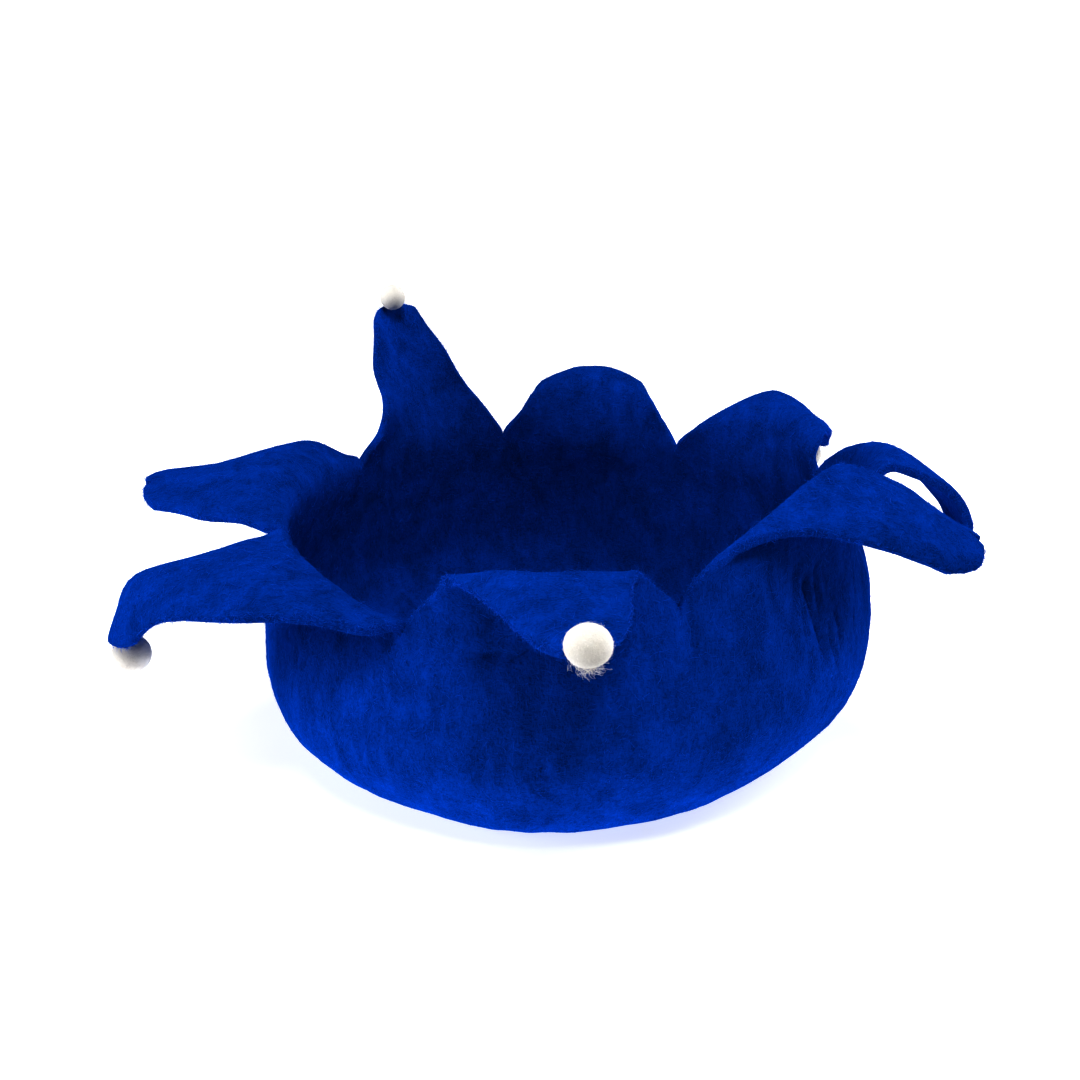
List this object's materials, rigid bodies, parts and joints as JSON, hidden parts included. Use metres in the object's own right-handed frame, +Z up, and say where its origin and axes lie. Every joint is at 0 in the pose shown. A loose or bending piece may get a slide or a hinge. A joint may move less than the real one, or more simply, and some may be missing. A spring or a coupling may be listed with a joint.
{
  "type": "pet basket",
  "caption": "Round felted wool pet basket with a flat floor, a bulging wall and a rim cut into pointed petals that bend outwards, with small felt balls sewn to their tips.",
  "frame": {"origin": "middle of the flat underside of the floor", "axes": "+Z up, -Y towards the front petal, +X to the right seen from the front"},
  "size_m": [0.5769, 0.5683, 0.2806],
  "materials": {
    "blue_felt": "matte hand-felted wool, royal blue, slightly hairy",
    "white_felt": "matte hand-felted wool, natural off-white"
  },
  "bodies": {
    "root": {"felt_basket": "blue_felt", "felt_ball_front": "white_felt", "felt_ball_right": "white_felt", "felt_ball_back_right": "white_felt", "felt_ball_back": "white_felt", "felt_ball_back_left": "white_felt", "felt_ball_front_left": "white_felt"}
  },
  "joints": []
}
